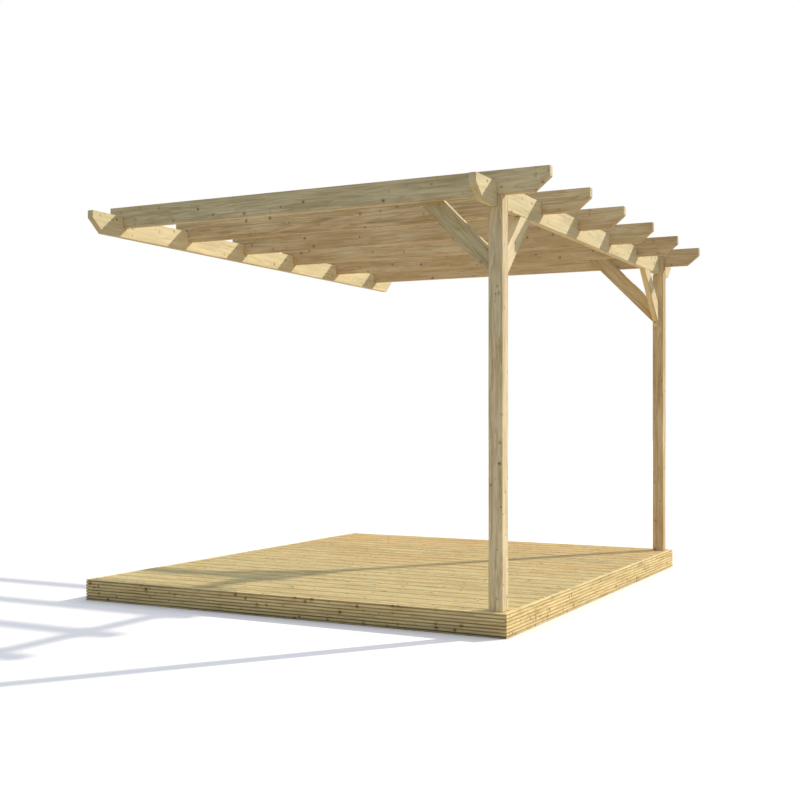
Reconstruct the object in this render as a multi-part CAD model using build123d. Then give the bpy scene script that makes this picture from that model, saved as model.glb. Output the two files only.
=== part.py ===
"""Lean-to garden pergola on a raised timber deck.

Everything is in millimetres. X runs from the house wall outwards, Y runs from the
front to the back along the wall, Z is up. The origin is on the ground under the
middle of the whole outline.
"""
from build123d import *
import math
import os

os.makedirs("parts", exist_ok=True)

# Deck: boards laid inside a fascia of boards on edge, which gives its height.
# The first board at the front is ripped to what the full ones leave over.
deck_width = 3200.0
deck_depth = 3800.0
fascia_height = 145.0
board_width = 160.0
board_thick = 28.0
board_gap = 5.6
ripped_least_share = 0.25
group_board_count = 5

# Reeds: grooves planed into the seen face of every decking and fascia board.
reed_pitch = 20.7
reed_groove_share = 0.42
reed_floor_share = 0.4
reed_depth = 6.0

# Frame under the deck boards.
joist_thick = 45.0
joist_spacing_most = 450.0

# Posts, how far in from the deck's edges they stand, and the tongue at their head.
post_width = 90.0
post_tongue_thick = 33.0
post_inset_outer = 49.0
post_inset_front = 55.0

# Sawn timbers of the roof: beams and rafters share one section. The rafters' top
# edge is given at the wall, and they fall a little from there to their outer ends.
timber_depth = 145.0
timber_thick = 45.0
roof_top = 2760.0
roof_fall = 22.0
lap_share = 0.53
rafter_count = 6
rafter_wall_gap = 175.0
rafter_overhang = 245.0
rafter_end_share = 0.43
rafter_nose_run = 102.0

# Beams: how far they run past the deck, and their sculpted ends.
beam_overhang = 255.0
beam_end_share = 0.36
beam_nose_run = 108.0
wall_beam_inset = 75.0

# Knee braces: how far their feet hang below the beam, and how steep they are.
brace_width = 118.0
rafter_brace_reach = 408.0
beam_brace_reach = 455.0
brace_slope_deg = 45.0


def block(x_low, x_high, y_low, y_high, z_low, z_high):
    """A squared length of timber between two corners."""
    corner = (Align.MIN, Align.MIN, Align.MIN)
    solid = Box(x_high - x_low, y_high - y_low, z_high - z_low, align=corner)
    return Pos(x_low, y_low, z_low) * solid


def profile_along_y(outline, y_low, y_high):
    """A side view in X and Z, given a thickness along Y."""
    corners = [(x, y_low, z) for x, z in outline]
    face = make_face(Polyline(*corners, close=True))
    return extrude(face, amount=y_high - y_low, dir=(0, 1, 0))


def profile_along_x(outline, x_low, x_high):
    """A side view in Y and Z, given a thickness along X."""
    corners = [(x_low, y, z) for y, z in outline]
    face = make_face(Polyline(*corners, close=True))
    return extrude(face, amount=x_high - x_low, dir=(1, 0, 0))


def to_back(solid):
    """The same piece at the back, seen in a mirror across the middle."""
    return mirror(solid, about=Plane.XZ)


def reeded_edge(start, length):
    """Offsets along a board's seen face, and how deep the face lies there."""
    reed_count = max(1, round(length / reed_pitch))
    pitch = length / reed_count
    half_mouth = pitch * reed_groove_share / 2
    half_floor = half_mouth * reed_floor_share
    points = []
    for reed in range(reed_count):
        middle = start + pitch * reed + pitch / 2
        points.append((middle - half_mouth, 0))
        points.append((middle - half_floor, reed_depth))
        points.append((middle + half_floor, reed_depth))
        points.append((middle + half_mouth, 0))
    return points


# Lines the pieces are set out from.
deck_height = fascia_height
deck_wall = -(deck_width + rafter_overhang) / 2
deck_outer = deck_wall + deck_width
deck_front = -deck_depth / 2
joist_depth = deck_height - board_thick

post_right = deck_outer - post_inset_outer
post_left = post_right - post_width
post_front_face = deck_front + post_inset_front
post_inner_face = post_front_face + post_width

outer_beam_right = post_right - post_tongue_thick
outer_beam_left = outer_beam_right - timber_thick
rafter_left = deck_wall + rafter_wall_gap
wall_beam_left = rafter_left + wall_beam_inset
rafter_right = deck_outer + rafter_overhang
beam_front = deck_front - beam_overhang
lap = timber_depth * lap_share


def rafter_top(x):
    """Height of the rafters' top edge, falling evenly away from the wall."""
    return roof_top - roof_fall * (x - rafter_left) / (rafter_right - rafter_left)


def rafter_low(x):
    """Height of the rafters' lower edge."""
    return rafter_top(x) - timber_depth


def beam_top(left):
    """Height of a level beam's top edge, with the rafters let in over it."""
    return rafter_low(left + timber_thick / 2) + lap


beam_lefts = {"wall_beam": wall_beam_left, "outer_beam": outer_beam_left}
outer_beam_low = beam_top(outer_beam_left) - timber_depth

first_rafter = post_front_face
rafter_step = (-2 * first_rafter - timber_thick) / (rafter_count - 1)
rafter_fronts = [first_rafter + rafter_step * number for number in range(rafter_count)]

pieces = {}

# Beams, with a notch in the top edge for every rafter.
for name, left in beam_lefts.items():
    right = left + timber_thick
    top = beam_top(left)
    low = top - timber_depth
    nose = top - timber_depth * beam_end_share
    beam_side = [
        (beam_front, top),
        (beam_front, nose),
        (beam_front + beam_nose_run, low),
        (-beam_front - beam_nose_run, low),
        (-beam_front, nose),
        (-beam_front, top),
    ]
    beam = profile_along_x(beam_side, left, right)
    for front in rafter_fronts:
        beam -= block(left, right, front, front + timber_thick, top - lap / 2, top)
    pieces[name] = beam

# Rafters, notched over both beams, square at the wall and sculpted outside.
rafter_foot = rafter_right - rafter_nose_run
rafter_side = [
    (rafter_left, rafter_top(rafter_left)),
    (rafter_left, rafter_low(rafter_left)),
    (rafter_foot, rafter_low(rafter_foot)),
    (rafter_right, rafter_top(rafter_right) - timber_depth * rafter_end_share),
    (rafter_right, rafter_top(rafter_right)),
]
for number, front in enumerate(rafter_fronts):
    back = front + timber_thick
    rafter = profile_along_y(rafter_side, front, back)
    for left in beam_lefts.values():
        top = beam_top(left)
        rafter -= block(left, left + timber_thick, front, back, top - timber_depth, top - lap / 2)
    pieces[f"rafter_{number + 1}"] = rafter

# Posts: the inner part is cut down to carry the beam, the tongue outside it carries
# the end rafter, and half of the tongue rises beside that rafter.
post_head = block(post_left, post_right, post_front_face, post_inner_face, deck_height, outer_beam_low)
tongue_side = [
    (outer_beam_right, outer_beam_low),
    (post_right, outer_beam_low),
    (post_right, rafter_low(post_right)),
    (outer_beam_right, rafter_low(outer_beam_right)),
]
post_tongue = profile_along_y(tongue_side, post_front_face, post_inner_face)
post_ear = block(
    outer_beam_right,
    post_right,
    post_front_face + timber_thick,
    post_inner_face,
    outer_beam_low,
    beam_top(outer_beam_left),
)
post = post_head + post_tongue + post_ear
pieces["post_front"] = post
pieces["post_back"] = to_back(post)

# Knee braces: one up to the end rafter's inner side, one up under the outer beam.
brace_slope = math.radians(brace_slope_deg)
brace_cut = brace_width / math.cos(brace_slope)


def brace_run(low, high):
    """How far a brace's edge moves away from the post between two heights."""
    return (high - low) / math.tan(brace_slope)


rafter_brace_foot = outer_beam_low - rafter_brace_reach
rafter_brace_shoulder = rafter_brace_foot + brace_cut
rafter_brace_top = rafter_top(post_left)
rafter_brace_side = [
    (post_left, rafter_brace_foot),
    (post_left, rafter_brace_shoulder),
    (post_left - brace_run(rafter_brace_shoulder, rafter_brace_top), rafter_brace_top),
    (post_left - brace_run(rafter_brace_foot, rafter_brace_top), rafter_brace_top),
]
rafter_back = first_rafter + timber_thick
rafter_brace = profile_along_y(rafter_brace_side, rafter_back, rafter_back + timber_thick)
pieces["rafter_brace_front"] = rafter_brace
pieces["rafter_brace_back"] = to_back(rafter_brace)

beam_brace_foot = outer_beam_low - beam_brace_reach
beam_brace_shoulder = beam_brace_foot + brace_cut
beam_brace_side = [
    (post_inner_face, beam_brace_foot),
    (post_inner_face, beam_brace_shoulder),
    (post_inner_face + brace_run(beam_brace_shoulder, outer_beam_low), outer_beam_low),
    (post_inner_face + brace_run(beam_brace_foot, outer_beam_low), outer_beam_low),
]
beam_brace = profile_along_x(beam_brace_side, outer_beam_left, outer_beam_right)
pieces["beam_brace_front"] = beam_brace
pieces["beam_brace_back"] = to_back(beam_brace)

# Fascia: reeded boards on edge round the deck, mitred at the corners.
reeds_up = reeded_edge(0, deck_height)
deck_middle_x = (deck_wall + deck_outer) / 2

front_section = [(deck_front, 0)]
for height, depth in reeds_up:
    front_section.append((deck_front + depth, height))
front_section.append((deck_front, deck_height))
front_section.append((deck_front + board_thick, deck_height))
front_section.append((deck_front + board_thick, 0))
fascia_front = profile_along_x(front_section, deck_wall, deck_outer)

outer_section = [(deck_outer, 0)]
for height, depth in reeds_up:
    outer_section.append((deck_outer - depth, height))
outer_section.append((deck_outer, deck_height))
outer_section.append((deck_outer - board_thick, deck_height))
outer_section.append((deck_outer - board_thick, 0))
fascia_outer = profile_along_y(outer_section, deck_front, -deck_front)


def plan_prism(corners):
    """A plan view taken up through the full deck height."""
    face = make_face(Polyline(*[(x, y, 0) for x, y in corners], close=True))
    return extrude(face, amount=deck_height, dir=(0, 0, 1))


inner_wall = deck_wall + board_thick
inner_outer = deck_outer - board_thick
inner_front = deck_front + board_thick
front_mitre = plan_prism(
    [
        (deck_wall, deck_front),
        (deck_outer, deck_front),
        (inner_outer, inner_front),
        (inner_wall, inner_front),
    ]
)
outer_mitre = plan_prism(
    [
        (deck_outer, deck_front),
        (deck_outer, -deck_front),
        (inner_outer, -inner_front),
        (inner_outer, inner_front),
    ]
)
fascia_front = fascia_front & front_mitre
fascia_outer = fascia_outer & outer_mitre
pieces["fascia_front"] = fascia_front
pieces["fascia_back"] = to_back(fascia_front)
pieces["fascia_outer"] = fascia_outer
about_middle = Plane.YZ.offset(deck_middle_x)
pieces["fascia_wall"] = mirror(fascia_outer, about=about_middle)

# Deck boards, laid away from the wall and flush with the top of the fascia.
inner_depth = -2 * inner_front
board_pitch = board_width + board_gap
ripped_least = board_width * ripped_least_share
full_count = int((inner_depth - 2 * board_gap - ripped_least) / board_pitch)
ripped_width = inner_depth - 2 * board_gap - full_count * board_pitch
board_bed = deck_height - board_thick
boards = []
edge = inner_front + board_gap
for width in [ripped_width] + [board_width] * full_count:
    section = [(edge, board_bed), (edge, deck_height)]
    for offset, depth in reeded_edge(edge, width):
        section.append((offset, deck_height - depth))
    section.append((edge + width, deck_height))
    section.append((edge + width, board_bed))
    boards.append(profile_along_x(section, inner_wall, inner_outer))
    edge += width + board_gap
group_count = math.ceil(len(boards) / group_board_count)
for group in range(group_count):
    first = group * group_board_count
    chosen = boards[first:first + group_board_count]
    pieces[f"deck_boards_{group + 1}"] = Compound(children=chosen)

# Frame under the boards: a rim at front and back, with joists between.
rim_back_line = inner_front + joist_thick
rim = block(inner_wall, inner_outer, inner_front, rim_back_line, 0, joist_depth)
pieces["rim_front"] = rim
pieces["rim_back"] = to_back(rim)
joist_run = inner_outer - inner_wall - joist_thick
joist_bays = math.ceil(joist_run / joist_spacing_most)
joists = []
for number in range(joist_bays + 1):
    left = inner_wall + joist_run * number / joist_bays
    joists.append(block(left, left + joist_thick, rim_back_line, -rim_back_line, 0, joist_depth))
pieces["joists"] = Compound(children=joists)

for name, solid in pieces.items():
    export_step(solid, f"parts/{name}.step")
print(len(pieces), "pieces written")
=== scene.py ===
# %% [markdown]
# A lean-to pergola of pale treated pine on a reeded deck.
# The imported solids are loaded first. They give every piece its place and size, so this lesson only
# rounds the arrises, lays the grain, paints the wood and paints shade into the grooves.

# %% Load the frame
import itertools
import math
import random

import bmesh
import bpy
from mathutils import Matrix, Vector


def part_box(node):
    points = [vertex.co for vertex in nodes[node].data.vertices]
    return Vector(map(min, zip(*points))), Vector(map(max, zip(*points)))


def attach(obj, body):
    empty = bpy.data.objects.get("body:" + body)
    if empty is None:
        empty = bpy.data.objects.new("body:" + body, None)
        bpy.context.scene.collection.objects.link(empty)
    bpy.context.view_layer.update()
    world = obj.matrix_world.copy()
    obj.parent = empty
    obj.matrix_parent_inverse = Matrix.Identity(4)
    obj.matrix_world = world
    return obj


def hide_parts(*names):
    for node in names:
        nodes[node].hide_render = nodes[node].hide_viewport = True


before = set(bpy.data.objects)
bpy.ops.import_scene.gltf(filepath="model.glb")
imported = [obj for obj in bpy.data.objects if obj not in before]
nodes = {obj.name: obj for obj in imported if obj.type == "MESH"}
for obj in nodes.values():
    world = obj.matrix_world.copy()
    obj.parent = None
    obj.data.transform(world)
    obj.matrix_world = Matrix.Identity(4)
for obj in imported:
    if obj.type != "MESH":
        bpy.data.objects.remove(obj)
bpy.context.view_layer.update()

scene = bpy.context.scene

# %% [markdown]
# The camera stands level at chest height, a little to the right of the deck's outer corner.
# A level camera keeps the posts upright in the picture. The picture's middle lies a little above the
# horizon, so the frame is shifted up by that much instead of tilting the camera.

# %% Camera
picture_width = 800
focal_pixels = 1162.8
horizon_row = 419.65
sensor_width = 36.0
sight_length = 200.0
camera_place = Vector((4.0417, -8.1641, 1.2734))
camera_turn = math.radians(27.503)
camera_level = math.radians(90.0)

camera_data = bpy.data.cameras.new("camera")
camera_data.sensor_width = sensor_width
camera_data.lens = focal_pixels / picture_width * sensor_width
camera_data.shift_y = (horizon_row - picture_width / 2) / picture_width
camera_data.clip_end = sight_length
camera = bpy.data.objects.new("camera", camera_data)
camera.location = camera_place
camera.rotation_euler = (camera_level, 0.0, camera_turn)
scene.collection.objects.link(camera)
scene.camera = camera
print("lens:", round(camera_data.lens, 2), "shift:", round(camera_data.shift_y, 4))

# %% [markdown]
# A finish is a tree of nodes. It could be wired by hand in the editor, but a script of small helpers reads
# like a recipe. Each helper adds a node, feeds it with plain values or with other nodes' outputs, and hands
# back its own output. The first ones do arithmetic on numbers and on places.


# %% Helpers for numbers and places
def feed(tree, value, socket):
    """Links another node's output to the socket, or writes a plain value on it."""
    if isinstance(value, bpy.types.NodeSocket):
        tree.links.new(value, socket)
    else:
        socket.default_value = value


def reckon(tree, operation, *values):
    """One step of arithmetic on numbers."""
    node = tree.nodes.new("ShaderNodeMath")
    node.operation = operation
    for value, socket in zip(values, node.inputs):
        feed(tree, value, socket)
    return node.outputs[0]


def plus(tree, first, second):
    """Two numbers added."""
    return reckon(tree, "ADD", first, second)


def minus(tree, first, second):
    """The second number taken from the first."""
    return reckon(tree, "SUBTRACT", first, second)


def times(tree, first, second):
    """Two numbers multiplied."""
    return reckon(tree, "MULTIPLY", first, second)


def divided(tree, first, second):
    """The first number divided by the second."""
    return reckon(tree, "DIVIDE", first, second)


def length_of(tree, arrow):
    """How long a direction is, or how far a place is from the origin."""
    node = tree.nodes.new("ShaderNodeVectorMath")
    node.operation = "LENGTH"
    feed(tree, arrow, node.inputs[0])
    return node.outputs["Value"]


def drawn_out(tree, place, stretch):
    """A place with each of its three numbers multiplied by its own amount."""
    node = tree.nodes.new("ShaderNodeVectorMath")
    node.operation = "MULTIPLY"
    feed(tree, place, node.inputs[0])
    feed(tree, stretch, node.inputs[1])
    return node.outputs["Vector"]


print("helpers for numbers and places ready")

# %% [markdown]
# Patterns in wood have soft edges: a ring darkens slowly, and a stain fades out. Map Range nodes give such
# steps, a Mix node lays one colour over another, and a noise that is drawn out along one axis makes streaks.


# %% Helpers for ranges, colours and noise
def step_between(tree, value, low, high):
    """0 below the low value, 1 above the high one, with a soft step between."""
    node = tree.nodes.new("ShaderNodeMapRange")
    node.interpolation_type = "SMOOTHSTEP"
    feed(tree, value, node.inputs["Value"])
    feed(tree, low, node.inputs["From Min"])
    feed(tree, high, node.inputs["From Max"])
    return node.outputs[0]


def spread(tree, value, low, high):
    """A number from 0 to 1, spread evenly between two others."""
    node = tree.nodes.new("ShaderNodeMapRange")
    feed(tree, value, node.inputs["Value"])
    feed(tree, low, node.inputs["To Min"])
    feed(tree, high, node.inputs["To Max"])
    return node.outputs[0]


# The Mix node keeps sockets for numbers, arrows and colours in one row. These are the ones for colours.
mix_share, mix_first, mix_second, mix_result = 0, 6, 7, 2


def blend_of(tree, share, first, second, way="MIX"):
    """Two colours mixed by a share."""
    node = tree.nodes.new("ShaderNodeMix")
    node.data_type = "RGBA"
    node.blend_type = way
    feed(tree, share, node.inputs[mix_share])
    feed(tree, first, node.inputs[mix_first])
    feed(tree, second, node.inputs[mix_second])
    return node.outputs[mix_result]


def tinted(tree, share, colour, tint):
    """A colour darkened by a tint, as a thin stain darkens wood."""
    return blend_of(tree, share, colour, tint, "MULTIPLY")


def noise_of(tree, place, stretch, detail, roughness=0.5):
    """Cloudy noise, drawn out by a different amount along each axis."""
    node = tree.nodes.new("ShaderNodeTexNoise")
    node.inputs["Scale"].default_value = 1.0
    node.inputs["Detail"].default_value = detail
    node.inputs["Roughness"].default_value = roughness
    tree.links.new(drawn_out(tree, place, stretch), node.inputs["Vector"])
    return node.outputs[0]


def seen_directly(tree):
    """1 for rays from the camera, and for mirror and glass rays, so those see the same background."""
    path = tree.nodes.new("ShaderNodeLightPath")
    clear = reckon(tree, "MAXIMUM", path.outputs["Is Camera Ray"], path.outputs["Is Glossy Ray"])
    return reckon(tree, "MAXIMUM", clear, path.outputs["Is Transmission Ray"])


print("helpers for ranges, colours and noise ready")

# %% [markdown]
# Daylight comes from behind on the right, low enough to throw the rafters' shadows down the beams.
# A large area lamp could give it, but its light would weaken across the deck, so it is one sun lamp. Its
# angle is how wide the sun looks, and a wider sun blurs the shadows' edges. A sun of strength pi would
# light a white sheet that faces it to plain white.

# %% Sun
sun_turn = math.radians(54.7)
sun_height = math.radians(34.0)
sun_angle = math.radians(1.3)
sun_share = 1.12
sun_tint = (1.0, 0.957, 0.855)

sun_data = bpy.data.lights.new("sun", "SUN")
sun_data.energy = math.pi * sun_share
sun_data.angle = sun_angle
sun_data.color = sun_tint
sun = bpy.data.objects.new("sun", sun_data)
sun_way = Vector(
    (
        math.cos(sun_height) * math.cos(sun_turn),
        math.cos(sun_height) * math.sin(sun_turn),
        math.sin(sun_height),
    )
)
sun.rotation_euler = sun_way.to_track_quat("Z", "Y").to_euler()
scene.collection.objects.link(sun)
print("sun way:", [round(part, 3) for part in sun_way])

# %% [markdown]
# The open sky fills the shaded sides with bluish light, and gives more of it from overhead than from
# the horizon. In a world's nodes, Generated is the way that is looked along, so its upward part tells
# the two apart. Where the sky is looked at it is plain white, so the picture's background is white
# without more light on the wood.

# %% Sky
horizon_share = 0.32
zenith_share = 0.65
sky_tint = (0.83, 1.0, 1.22, 1.0)
white = (1.0, 1.0, 1.0, 1.0)

world = bpy.data.worlds.new("sky")
scene.world = world
world.use_nodes = True
tree = world.node_tree
tree.nodes.clear()
output = tree.nodes.new("ShaderNodeOutputWorld")
choice = tree.nodes.new("ShaderNodeMixShader")
way = tree.nodes.new("ShaderNodeTexCoord")
way_parts = tree.nodes.new("ShaderNodeSeparateXYZ")
tree.links.new(way.outputs["Generated"], way_parts.inputs[0])
fill = tree.nodes.new("ShaderNodeBackground")
fill.inputs["Color"].default_value = sky_tint
fill_strength = spread(tree, way_parts.outputs["Z"], horizon_share, zenith_share)
tree.links.new(fill_strength, fill.inputs["Strength"])
backdrop = tree.nodes.new("ShaderNodeBackground")
backdrop.inputs["Color"].default_value = white
tree.links.new(seen_directly(tree), choice.inputs["Fac"])
tree.links.new(fill.outputs[0], choice.inputs[1])
tree.links.new(backdrop.outputs[0], choice.inputs[2])
tree.links.new(choice.outputs[0], output.inputs["Surface"])
scene.view_settings.view_transform = "Standard"
print("sky nodes:", len(tree.nodes))

# %% [markdown]
# The floor is plain and pale. To the camera it is so bright that the sun takes it to white, and only
# shade shows on it. A faint glow keeps that shade light. The glow fades close to what stands on the
# floor, so the shade is deepest along the deck's foot.
# To the light that bounces, the floor is darker, most of all far out. The deck's sides and the feet of
# the posts then get more light from below than the roof does.

# %% Floor finish
floor_pale = (0.94, 0.87, 0.83, 1.0)
floor_tint = (1.0, 0.93, 0.90, 1.0)
floor_glow = 0.22
contact_reach = 0.30
contact_power = 3.0
bounce_near = (0.63, 0.525, 0.39, 1.0)
bounce_far = (0.33, 0.27, 0.195, 1.0)
bounce_rim = (2.5, 8.0)

floor_material = bpy.data.materials.new("floor_pale")
floor_material.use_nodes = True
tree = floor_material.node_tree
tree.nodes.clear()
output = tree.nodes.new("ShaderNodeOutputMaterial")
choice = tree.nodes.new("ShaderNodeMixShader")
place = tree.nodes.new("ShaderNodeTexCoord")
far_out = step_between(tree, length_of(tree, place.outputs["Object"]), *bounce_rim)
bounce = tree.nodes.new("ShaderNodeBsdfDiffuse")
tree.links.new(blend_of(tree, far_out, bounce_near, bounce_far), bounce.inputs["Color"])
shade = tree.nodes.new("ShaderNodeBsdfDiffuse")
shade.inputs["Color"].default_value = floor_pale
near = tree.nodes.new("ShaderNodeAmbientOcclusion")
near.inputs["Distance"].default_value = contact_reach
openness = reckon(tree, "POWER", near.outputs["AO"], contact_power)
glow = tree.nodes.new("ShaderNodeEmission")
glow.inputs["Color"].default_value = floor_tint
tree.links.new(times(tree, openness, floor_glow), glow.inputs["Strength"])
both = tree.nodes.new("ShaderNodeAddShader")
tree.links.new(shade.outputs[0], both.inputs[0])
tree.links.new(glow.outputs[0], both.inputs[1])
tree.links.new(seen_directly(tree), choice.inputs["Fac"])
tree.links.new(bounce.outputs[0], choice.inputs[1])
tree.links.new(both.outputs[0], choice.inputs[2])
tree.links.new(choice.outputs[0], output.inputs["Surface"])
print("floor nodes:", len(tree.nodes))

# %% [markdown]
# The floor itself is one flat square, far larger than the picture shows, so that its edge lies beyond
# the horizon. It isn't part of the pergola.

# %% Floor
floor_half = 60.0
sheet = bmesh.new()
bmesh.ops.create_grid(sheet, x_segments=1, y_segments=1, size=floor_half)
floor_mesh = bpy.data.meshes.new("floor")
sheet.to_mesh(floor_mesh)
sheet.free()
floor_mesh.materials.append(floor_material)
floor = bpy.data.objects.new("floor", floor_mesh)
scene.collection.objects.link(floor)
print("floor laid:", floor_half * 2, "m across")

# %% [markdown]
# All the timber is softwood sawn from small trees: growth rings, thin darker streaks along the grain,
# pin knots where twigs grew, and the greenish cast of the treatment that stands in some boards.
# An image could show that, but it would repeat and stretch on the end grain. Instead the wood is a
# solid pattern. Each timber carries its own coordinates, written later as the attribute "grain": the
# distance along the tree, then two distances from the pith.
#
# Knots come first, because the rings bend round them. A Voronoi texture scatters points through the
# wood, and each point may have a small ball of dark wood about it. A face cuts a ball as a round knot.

# %% Knots
knot_crowding = 24.0
knot_edge = 0.0025
halo_reach = 2.4


def pin_knots(tree, grain, largest, bare_share):
    """Small round knots of many sizes. Returns the knots and the disturbed wood round them."""
    cells = tree.nodes.new("ShaderNodeTexVoronoi")
    cells.inputs["Scale"].default_value = knot_crowding
    tree.links.new(grain, cells.inputs["Vector"])
    away = divided(tree, cells.outputs["Distance"], knot_crowding)
    luck = tree.nodes.new("ShaderNodeSeparateColor")
    tree.links.new(cells.outputs["Color"], luck.inputs[0])
    grown = minus(tree, luck.outputs[0], bare_share)
    girth = times(tree, grown, largest / (1.0 - bare_share))
    inside = divided(tree, minus(tree, girth, away), knot_edge)
    reach = times(tree, girth, halo_reach)
    around = divided(tree, minus(tree, reach, away), largest)
    return step_between(tree, inside, 0.0, 1.0), step_between(tree, around, 0.0, 1.0)


print("places for knots, one to every", round(1.0 / knot_crowding, 3), "m")

# %% [markdown]
# Rings are circles round the pith, and the faces cut through them as a saw does. A real tree isn't
# straight, so the distance from the pith sways slowly along the trunk, ripples a little, and swells
# round a knot. The wood darkens through each summer and is pale again in spring.

# %% Growth rings
ring_gap = 0.010
square_to_tree = (0.0, 1.0, 1.0)
sway_stretch = (0.9, 5.0, 5.0)
sway_reach = 0.05
ripple_stretch = (6.0, 36.0, 36.0)
ripple_reach = 0.008
knot_swell = 0.009
summer_span = (0.35, 0.88)
winter_span = (0.90, 1.0)


def summer_wood(tree, grain, halo):
    """The dark part of each year's ring."""
    radius = length_of(tree, drawn_out(tree, grain, square_to_tree))
    sway = spread(tree, noise_of(tree, grain, sway_stretch, detail=3.0), -sway_reach, sway_reach)
    ripple = spread(tree, noise_of(tree, grain, ripple_stretch, detail=2.0), -ripple_reach, ripple_reach)
    swell = times(tree, halo, knot_swell)
    shifted = plus(tree, plus(tree, radius, sway), plus(tree, ripple, swell))
    year = reckon(tree, "FRACT", divided(tree, shifted, ring_gap))
    darkening = step_between(tree, year, *summer_span)
    return minus(tree, darkening, step_between(tree, year, *winter_span))


print("one ring every", ring_gap, "m")

# %% [markdown]
# The treatment soaks in unevenly, so a timber is pale wood with clouds of green or russet. A tone for
# each timber says which of the two it leans to.
# As it dries, a timber opens thin checks along the grain. A slow noise that is long along the tree has
# the right lines where it crosses one level.

# %% Stain and drying checks
cloud_stretch = (1.5, 9.0, 9.0)
cloud_reach = 0.9
stain_span = (0.1, 1.1)
check_stretch = (0.30, 34.0, 34.0)
check_level = 0.66
check_edge = (0.004, 0.020)


def stained(tree, grain, tone, stain_share, pale, green, russet):
    """Pale wood with green or russet clouds."""
    cloud = noise_of(tree, grain, cloud_stretch, detail=3.0)
    tint_level = plus(tree, tone, spread(tree, cloud, -cloud_reach, cloud_reach))
    greenness = step_between(tree, tint_level, *stain_span)
    redness = step_between(tree, times(tree, tint_level, -1.0), *stain_span)
    colour = blend_of(tree, times(tree, greenness, stain_share), pale, green)
    return blend_of(tree, times(tree, redness, stain_share), colour, russet)


def drying_checks(tree, grain):
    """1 along the thin lines where the wood has opened."""
    slow = noise_of(tree, grain, check_stretch, detail=1.0)
    away = reckon(tree, "ABSOLUTE", minus(tree, slow, check_level))
    return minus(tree, 1.0, step_between(tree, away, *check_edge))


print("tone that turns a timber green or russet:", stain_span)

# %% [markdown]
# Thin brown streaks and fine fibres follow the grain through all of the wood. Both are noise, drawn out
# along the tree until it is many times longer than wide. With them the list of patterns is complete.
# The numbers that each timber carries are read by name, as its marks.

# %% All patterns
wood_marks = ("grain", "tone", "figure", "arris", "painted_shade")
streak_stretch = (2.6, 44.0, 44.0)
streak_span = (0.42, 0.64)
fibre_stretch = (9.0, 420.0, 420.0)


def marks_of(tree):
    """The attributes that each timber carries, by name."""
    marks = {}
    for mark in wood_marks:
        marks[mark] = tree.nodes.new("ShaderNodeAttribute")
        marks[mark].attribute_name = mark
    return marks


def patterns_of(tree, grain, knot_size, bare_share):
    """The patterns in the wood, by name."""
    knot, halo = pin_knots(tree, grain, knot_size, bare_share)
    streaks = noise_of(tree, grain, streak_stretch, detail=4.0, roughness=0.70)
    return {
        "knot": knot,
        "halo": halo,
        "summer": summer_wood(tree, grain, halo),
        "streaks": streaks,
        "streak": step_between(tree, streaks, *streak_span),
        "fibre": noise_of(tree, grain, fibre_stretch, detail=2.0),
        "check": drying_checks(tree, grain),
    }


print("marks on each timber:", wood_marks)

# %% [markdown]
# The patterns are laid over the stained wood one by one: rings, streaks, fibres, the wood round knots,
# checks, knots, then worn arrises and painted shade. Figure is how boldly the grain of a timber shows. A
# tint is multiplied in, so that what lies below still shows through, while knots and painted shade cover it.

# %% Colour of pine
late_tint = (0.76, 0.66, 0.54, 1.0)
brown_tint = (0.60, 0.47, 0.36, 1.0)
knot_dark = (0.085, 0.040, 0.016, 1.0)
# The last dark colour here is painted shade, laid into grooves, gaps between boards and the fascia's foot.
shade_dark = (0.10, 0.075, 0.035, 1.0)
fibre_shades = (0.84, 1.16)
shade_patch_stretch = (1.2, 45.0, 45.0)
shade_patch_shares = (0.10, 0.60)
halo_share = 0.45
check_share = 0.35
knot_share = 0.75
arris_share = 0.15


def pine_colour(tree, marks, patterns, colour, ring_share, streak_share):
    """The colour of stained wood, with every pattern laid over it."""
    grain = marks["grain"].outputs["Vector"]
    figure = marks["figure"].outputs["Fac"]
    ring_strength = times(tree, figure, ring_share)
    colour = tinted(tree, times(tree, patterns["summer"], ring_strength), colour, late_tint)
    streak_strength = times(tree, figure, streak_share)
    colour = tinted(tree, times(tree, patterns["streak"], streak_strength), colour, brown_tint)
    colour = tinted(tree, 1.0, colour, spread(tree, patterns["fibre"], *fibre_shades))
    colour = tinted(tree, times(tree, patterns["halo"], halo_share), colour, brown_tint)
    check_strength = times(tree, figure, check_share)
    colour = blend_of(tree, times(tree, patterns["check"], check_strength), colour, knot_dark)
    colour = blend_of(tree, times(tree, patterns["knot"], knot_share), colour, knot_dark)
    worn = times(tree, marks["arris"].outputs["Fac"], arris_share)
    colour = tinted(tree, worn, colour, brown_tint)
    # Painted shade: grooves, gaps between boards and the fascia's lower part are darkened in long patches.
    patches = spread(tree, noise_of(tree, grain, shade_patch_stretch, detail=2.0), *shade_patch_shares)
    painted_shade = times(tree, marks["painted_shade"].outputs["Fac"], patches)
    return blend_of(tree, painted_shade, colour, shade_dark)


# The second colour printed is that of the painted shade.
print("darkest wood:", knot_dark[:3], "dirt:", shade_dark[:3])

# %% [markdown]
# The same patterns shape the surface. Summer wood is hard and stands a little proud, knots are smoother
# than the wood round them and lie a little lower, and streaks change the sheen. Such relief is far too
# fine for the mesh, so a Bump node only changes how it catches the light.

# %% Surface of pine
sheen_range = (0.60, 0.82)
knot_sheen = -0.12
summer_relief = 0.6
knot_relief = 0.8
bump_strength = 0.35
bump_height = 0.0008


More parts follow.
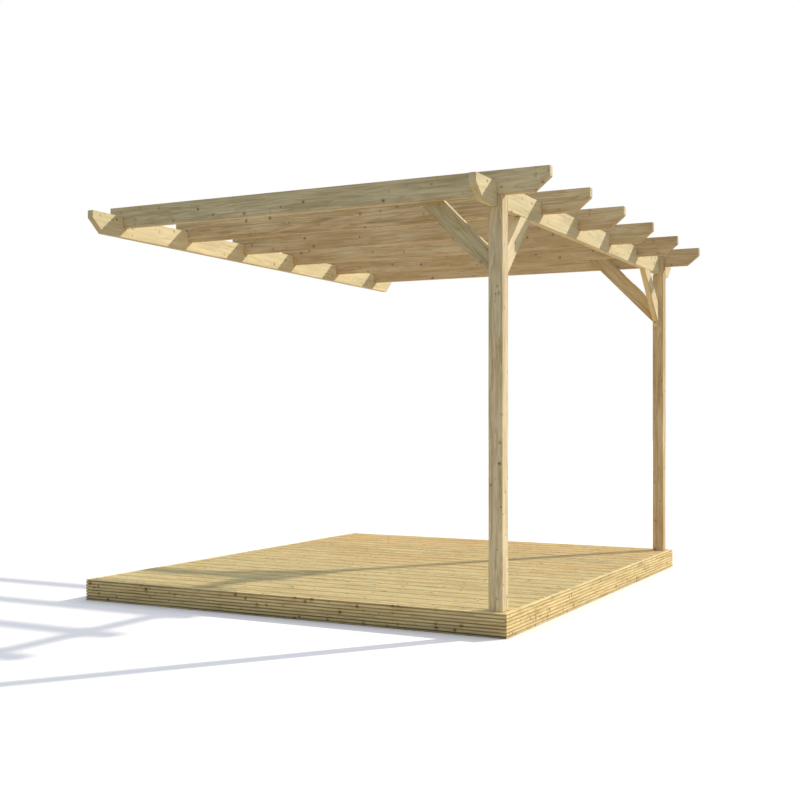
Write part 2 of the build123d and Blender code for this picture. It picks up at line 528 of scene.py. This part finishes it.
def pine_surface(tree, shader, patterns):
    """Roughness and fine relief."""
    sheen = spread(tree, patterns["streaks"], *sheen_range)
    rough = plus(tree, sheen, times(tree, patterns["knot"], knot_sheen))
    tree.links.new(rough, shader.inputs["Roughness"])
    relief = plus(tree, patterns["fibre"], times(tree, patterns["summer"], summer_relief))
    relief = minus(tree, relief, times(tree, patterns["knot"], knot_relief))
    bump = tree.nodes.new("ShaderNodeBump")
    bump.inputs["Strength"].default_value = bump_strength
    bump.inputs["Distance"].default_value = bump_height
    tree.links.new(relief, bump.inputs["Height"])
    tree.links.new(bump.outputs[0], shader.inputs["Normal"])


print("relief:", bump_height, "m")

# %% [markdown]
# One recipe puts these together for every kind of timber here, so that all of them read as one wood. It
# takes the colours, how strongly each pattern shows, the largest knot, the share of places for a knot that
# stay bare, and the shine.


# %% Pine
def pine(name, pale, green, russet, ring_share, streak_share, stain_share, knot_size, bare_share, shine):
    """A softwood finish."""
    material = bpy.data.materials.new(name)
    material.use_nodes = True
    tree = material.node_tree
    shader = tree.nodes["Principled BSDF"]
    marks = marks_of(tree)
    grain = marks["grain"].outputs["Vector"]
    tone = marks["tone"].outputs["Fac"]
    patterns = patterns_of(tree, grain, knot_size, bare_share)
    base = stained(tree, grain, tone, stain_share, pale, green, russet)
    colour = pine_colour(tree, marks, patterns, base, ring_share, streak_share)
    tree.links.new(colour, shader.inputs["Base Color"])
    pine_surface(tree, shader, patterns)
    shader.inputs["Specular IOR Level"].default_value = shine
    print(name, "nodes:", len(tree.nodes))
    return material


# %% [markdown]
# Four finishes come out of that one recipe. The planed roof timbers are pale with a green cast or a
# russet one, the decking is warmer, its fascia has more and larger knots, and the sawn joists below are
# darker and duller.

# %% Finishes
finishes = {
    "frame_timber": pine(
        "planed_pine",
        pale=(0.91, 0.76, 0.475, 1.0),
        green=(0.645, 0.565, 0.305, 1.0),
        russet=(0.58, 0.38, 0.175, 1.0),
        ring_share=0.55,
        streak_share=0.52,
        stain_share=0.70,
        knot_size=0.009,
        bare_share=0.68,
        shine=0.2,
    ),
    "deck_timber": pine(
        "decking_pine",
        pale=(0.95, 0.76, 0.37, 1.0),
        green=(0.79, 0.69, 0.345, 1.0),
        russet=(1.0, 0.645, 0.265, 1.0),
        ring_share=0.5,
        streak_share=0.5,
        stain_share=0.6,
        knot_size=0.010,
        bare_share=0.58,
        shine=0.2,
    ),
    "fascia_timber": pine(
        "fascia_pine",
        pale=(0.96, 0.77, 0.39, 1.0),
        green=(0.71, 0.62, 0.31, 1.0),
        russet=(0.73, 0.50, 0.22, 1.0),
        ring_share=0.5,
        streak_share=0.5,
        stain_share=0.6,
        knot_size=0.012,
        bare_share=0.40,
        shine=0.2,
    ),
    "under_timber": pine(
        "sawn_pine",
        pale=(0.60, 0.48, 0.28, 1.0),
        green=(0.42, 0.40, 0.23, 1.0),
        russet=(0.45, 0.31, 0.155, 1.0),
        ring_share=0.4,
        streak_share=0.5,
        stain_share=0.6,
        knot_size=0.010,
        bare_share=0.45,
        shine=0.15,
    ),
}
print("finishes:", list(finishes))

# %% [markdown]
# A timber from the planer has its long arrises taken off, and that thin rounded edge is what catches
# the light. Each piece starts as a copy of its solid: the copy's triangles are merged back into whole
# faces, and its outside corners are bevelled. A bevel modifier would do the same, but doing it here
# lets the rounded faces be marked, so that the finish can darken them a little.
# The marks that the finishes read are added first, while nothing else holds on to the mesh.

# %% Whole faces and rounded arrises
weld_reach = 0.00001
flat_angle = math.radians(0.5)
corner_angle = math.radians(15.0)


def whole_faces(node_name):
    """A copy of a node's solid, with its loose triangles joined back into flat faces."""
    solid = bmesh.new()
    solid.from_mesh(nodes[node_name].data)
    bmesh.ops.remove_doubles(solid, verts=solid.verts, dist=weld_reach)
    bmesh.ops.dissolve_limit(solid, angle_limit=flat_angle, verts=solid.verts, edges=solid.edges)
    solid.verts.layers.float_vector.new("grain")
    solid.verts.layers.float.new("painted_shade")
    for mark in ("tone", "figure", "arris"):
        solid.faces.layers.float.new(mark)
    return solid


def round_arrises(solid, arris, steps):
    """Bevels every outside corner and marks the new faces."""
    mark = solid.faces.layers.float["arris"]
    corners = [edge for edge in solid.edges if edge.is_convex and edge.calc_face_angle() > corner_angle]
    rounded = bmesh.ops.bevel(
        solid,
        geom=corners,
        offset=arris,
        offset_type="OFFSET",
        segments=steps,
        profile=0.5,
        affect="EDGES",
        clamp_overlap=True,
        material=-1,
    )
    for face in rounded["faces"]:
        face[mark] = 1.0


trial = whole_faces("post_front")
print("front post:", len(nodes["post_front"].data.polygons), "triangles,", len(trial.faces), "whole faces")
trial.free()

# %% [markdown]
# With plain Object coordinates the whole pergola would look cut from one block. So each timber gets
# coordinates of its own, three numbers on every vertex. The faces are flat, so numbers at their corners
# are enough: they run straight across a face, as the tree does. Every timber comes from another stretch of
# another tree, with its own start along the grain and its own pith.
# Boards are sawn off the middle of the log, so their pith lies outside them, beyond the wide face, and
# the rings leave long arches there. A square post keeps the heart inside. The tone says how a timber is
# stained, from -1 for russet to 1 for green, and the figure how boldly its grain shows.

# %% Grain coordinates
tree_apart = 6.37
pith_off = (0.10, 0.20)
pith_aside = 0.03
square_enough = 0.01
chance = random.Random(41)
timber_numbers = itertools.count(1)


def section_axes(along):
    """Those of the three main axes that lie square to the way a timber runs."""
    axes = [Vector(axis) for axis in ((1.0, 0.0, 0.0), (0.0, 1.0, 0.0), (0.0, 0.0, 1.0))]
    return [axis for axis in axes if abs(axis.dot(along)) < square_enough]


def width_along(vertices, axis):
    """How wide a timber is along an axis."""
    reach = [vertex.co.dot(axis) for vertex in vertices]
    return max(reach) - min(reach)


def lay_grain(solid, vertices, faces, along, tone, figure):
    """Writes the grain of one timber, sawn along the given way, with its tone and figure."""
    grain = solid.verts.layers.float_vector["grain"]
    tone_mark = solid.faces.layers.float["tone"]
    figure_mark = solid.faces.layers.float["figure"]
    along = Vector(along).normalized()
    thin = min(section_axes(along), key=lambda axis: width_along(vertices, axis))
    wide = along.cross(thin)
    flatness = 1.0 - width_along(vertices, thin) / width_along(vertices, wide)
    middle = sum((vertex.co for vertex in vertices), Vector()) / len(vertices)
    start = next(timber_numbers) * tree_apart
    pith_thin = chance.uniform(*pith_off) * flatness * chance.choice((-1.0, 1.0))
    pith_wide = chance.uniform(-pith_aside, pith_aside)
    for vertex in vertices:
        offset = vertex.co - middle
        from_pith = (offset.dot(thin) - pith_thin, offset.dot(wide) - pith_wide)
        vertex[grain] = (offset.dot(along) + start, *from_pith)
    for face in faces:
        face[tone_mark] = tone
        face[figure_mark] = figure


print("axes across an upright timber:", [tuple(axis) for axis in section_axes(Vector((0.0, 0.0, 1.0)))])

# %% [markdown]
# A finished piece becomes an object at the origin, with its place in its mesh, as its solid has. An
# object could be moved to its place instead, but then whatever reads its mesh has to know about the move.
# The piece rides on the one body that the pergola is, takes the place of the solid that it was copied
# from, and gets the finish made for that solid's kind of timber.


# %% Pieces in place
def set_in_place(solid, node_name, slot):
    """Makes the finished piece an object that stands for its node."""
    name = f"pine_{node_name}"
    mesh = bpy.data.meshes.new(name)
    solid.to_mesh(mesh)
    solid.free()
    mesh.materials.append(finishes[slot])
    piece = bpy.data.objects.new(name, mesh)
    scene.collection.objects.link(piece)
    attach(piece, "root")
    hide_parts(node_name)
    print(name, "faces:", len(mesh.polygons))


# %% [markdown]
# The roof timbers, posts and braces are each one length of planed pine. Their solids have the notches and
# the sculpted ends already. The rafters run outwards, the beams along the wall, the posts upwards and the
# braces slantwise, up and away from their post. The beams and the timbers at the front have a green cast,
# and most of those further back are russet. Tones by chance would mix that up, so they are chosen. The
# russet
# further back is partly painted light: it also stands for warm light bounced up from the deck under the
# roof.

# %% Roof timbers, posts and braces
outwards = (1.0, 0.0, 0.0)
along_wall = (0.0, 1.0, 0.0)
upwards = (0.0, 0.0, 1.0)
rafter_count = 6
frame_arris = 0.003
frame_runs = {"wall_beam": along_wall, "outer_beam": along_wall}
for number in range(1, rafter_count + 1):
    frame_runs[f"rafter_{number}"] = outwards
for side, inwards in (("front", 1.0), ("back", -1.0)):
    frame_runs[f"post_{side}"] = upwards
    frame_runs[f"rafter_brace_{side}"] = (-1.0, 0.0, 1.0)
    frame_runs[f"beam_brace_{side}"] = (0.0, inwards, 1.0)

# Each timber's tone and figure. The russet tones further back are partly painted warm bounce light.
tones_and_figures = {
    "rafter_1": (0.60, 0.85),
    "rafter_2": (-0.60, 1.05),
    "rafter_3": (-0.75, 0.7),
    "rafter_4": (-0.80, 0.7),
    "rafter_5": (-0.85, 0.7),
    "rafter_6": (-0.80, 0.7),
    "post_front": (0.25, 1.0),
    "post_back": (-0.70, 0.9),
    "rafter_brace_front": (0.90, 1.05),
    "rafter_brace_back": (-0.95, 0.9),
    "outer_beam": (0.60, 0.45),
    "wall_beam": (0.65, 0.40),
    "beam_brace_front": (0.10, 0.7),
    "beam_brace_back": (0.0, 0.7),
}
for node_name, run in frame_runs.items():
    solid = whole_faces(node_name)
    round_arrises(solid, frame_arris, steps=2)
    lay_grain(solid, solid.verts, solid.faces, run, *tones_and_figures[node_name])
    set_in_place(solid, node_name, "frame_timber")

# %% [markdown]
# The boards of one node are separate lengths of timber, so they are told apart, and each can have a grain
# of its own. From any vertex, the edges lead to every other vertex of the same length and to no other.


# %% Lengths of timber
def lengths_of_timber(solid):
    """The separate timbers in a mesh, as vertices and faces, from the front corner at the wall on."""
    reached = set()
    found = []
    for first in solid.verts:
        if first in reached:
            continue
        reached.add(first)
        group = [first]
        for vertex in group:
            for edge in vertex.link_edges:
                other = edge.other_vert(vertex)
                if other not in reached:
                    reached.add(other)
                    group.append(other)
        found.append(group)
    found.sort(key=lambda group: min(vertex.co.x + vertex.co.y for vertex in group))
    return [(group, {face for vertex in group for face in vertex.link_faces}) for group in found]


trial = whole_faces("joists")
print("joists:", len(lengths_of_timber(trial)))
trial.free()

# %% [markdown]
# Decking boards are planed with reeds along their face. The floors of the grooves between the reeds lie in
# shade, and that shade is painted into the colour as well. The finish could look for hollows by itself, but
# that is slow to render and finds the joints of the roof too. So the painted shade is a number on every
# vertex, 0 where none is painted.

# %% Painted shade
reed_depth = 0.006
reed_arris = 0.0015
front_low, front_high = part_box("fascia_front")
deck_top = front_high.z


def groove_shade_share(depth):
    """How deep the painted shade in a groove is, from 0 on a reed to 1 on the floor of the groove."""
    return min(1.0, max(0.0, depth / reed_depth))


def mark_painted_shade(solid, vertices, shade_at):
    """Writes how much painted shade lies at each vertex."""
    painted_shade = solid.verts.layers.float["painted_shade"]
    for vertex in vertices:
        vertex[painted_shade] = shade_at(vertex.co)


print("deck top:", round(deck_top, 4), "m")

# %% [markdown]
# The deck boards' solids have their grooves already, and a small bevel takes the edge off each reed. Shade
# is painted into the grooves and along the gaps between the boards. Real boards come from different packs
# and
# no two are alike: here they are greener at the front of the deck and more russet at the back, with some
# chance in each.

# %% Deck boards
# Painted shade along the gaps between the boards: how far from a gap it reaches, and how deep it is.
edge_width = 0.007
gap_shade = 0.8
front_tone = 0.30
back_tone = -1.00
tone_spread = 0.45
board_figures = (0.8, 1.2)
deck_front = front_low.y
deck_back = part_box("fascia_back")[1].y


def board_shade(vertices):
    """A board's painted shade: on the floors of its grooves, and along the gaps beside it."""
    side_low = min(vertex.co.y for vertex in vertices)
    side_high = max(vertex.co.y for vertex in vertices)

    def shade_at(place):
        beside_gap = min(place.y - side_low, side_high - place.y) < edge_width
        return groove_shade_share(deck_top - place.z) + (gap_shade if beside_gap else 0.0)

    return shade_at


def board_tone(vertices):
    """A board's tone, by how far back it lies and by chance."""
    way_back = (min(vertex.co.y for vertex in vertices) - deck_front) / (deck_back - deck_front)
    return front_tone + (back_tone - front_tone) * way_back + chance.uniform(-tone_spread, tone_spread)


for node_name in sorted(name for name in nodes if name.startswith("deck_boards")):
    solid = whole_faces(node_name)
    round_arrises(solid, reed_arris, steps=2)
    boards = lengths_of_timber(solid)
    for vertices, faces in boards:
        mark_painted_shade(solid, vertices, board_shade(vertices))
        tone = board_tone(vertices)
        lay_grain(solid, vertices, faces, outwards, tone, chance.uniform(*board_figures))
    print(node_name, "boards:", len(boards))
    set_in_place(solid, node_name, "deck_timber")

# %% [markdown]
# The fascia is decking set on edge round the deck. Shade is painted into its grooves, as a dark line
# along its foot where it stands on the ground, and over its lower part, deepest at the bottom and fading
# upwards. Its top edge gets none. All of this is painted shade on the vertices again, worked out from a
# vertex's height and from its depth behind the seen face.

# %% Painted shade on the fascia
# Painted shade on the fascia: the dark line at its foot, how high the shade on the lower part reaches, and
# how deep the grooves' shade is.
foot_top = 0.004
foot_shade = 1.8
ground_shade_top = 0.12
base_groove_shade = 0.7
side_groove_shade = 0.8


def fascia_shade(depth_at, side_shade_share):
    """A fascia board's painted shade: in its grooves, along its foot, and darker towards the bottom."""
    groove_shade = base_groove_shade + side_groove_shade * side_shade_share

    def shade_at(place):
        if place.z > deck_top - reed_arris:
            return 0.0
        # Painted shade: a dark contact line along the foot, and shade that darkens the lower part towards
        # the ground.
        foot = foot_shade if place.z < foot_top else 0.0
        tint_level = side_shade_share * max(0.0, 1.0 - place.z / ground_shade_top) ** 2
        return groove_shade * groove_shade_share(depth_at(place)) + foot + tint_level

    return shade_at


# The painted shade on the fascia's lower part fades out at this height.
print("damp stain up to", ground_shade_top, "m of", round(deck_top, 3), "m")

# %% [markdown]
# The four boards differ in the way they run, in the side they are seen from, in how much painted shade they
# get and in tone: the front and back ones get more painted shade and are less green than the other two; the
# front faces away from the sun, and the back is made like it. Four blocks of code could make them, but with
# those differences in tables one loop does.

# %% Fascia
fascia_runs = {
    "fascia_front": outwards,
    "fascia_back": outwards,
    "fascia_outer": along_wall,
    "fascia_wall": along_wall,
}
fascia_depths = {
    "fascia_front": lambda place: place.y - deck_front,
    "fascia_back": lambda place: deck_back - place.y,
    "fascia_outer": lambda place: front_high.x - place.x,
    "fascia_wall": lambda place: place.x - front_low.x,
}
# Painted shade on each board's grooves and lower part: more on the front, which faces away from the sun, and
# on the back, made like it.
side_shade_shares = {"fascia_front": 1.0, "fascia_back": 1.0, "fascia_outer": 0.3, "fascia_wall": 0.3}
fascia_tones = {"fascia_front": -0.05, "fascia_back": -0.05, "fascia_outer": 0.35, "fascia_wall": 0.30}
for node_name, run in fascia_runs.items():
    solid = whole_faces(node_name)
    round_arrises(solid, reed_arris, steps=2)
    mark_painted_shade(solid, solid.verts, fascia_shade(fascia_depths[node_name], side_shade_shares[node_name]))
    lay_grain(solid, solid.verts, solid.faces, run, fascia_tones[node_name], figure=1.0)
    set_in_place(solid, node_name, "fascia_timber")

# %% [markdown]
# The joists and rims below are sawn and not planed. They show from below and through the gaps between
# the boards. Their plain solids would do there, but from below they fill the view, so they are made as the
# rest is, greener, and with a smaller arris in one step.

# %% Joists and rims
sawn_arris = 0.0015
sawn_tones = (0.3, 0.9)
under_runs = {"rim_front": outwards, "rim_back": outwards, "joists": along_wall}
for node_name, run in under_runs.items():
    solid = whole_faces(node_name)
    round_arrises(solid, sawn_arris, steps=1)
    for vertices, faces in lengths_of_timber(solid):
        lay_grain(solid, vertices, faces, run, chance.uniform(*sawn_tones), figure=1.0)
    set_in_place(solid, node_name, "under_timber")
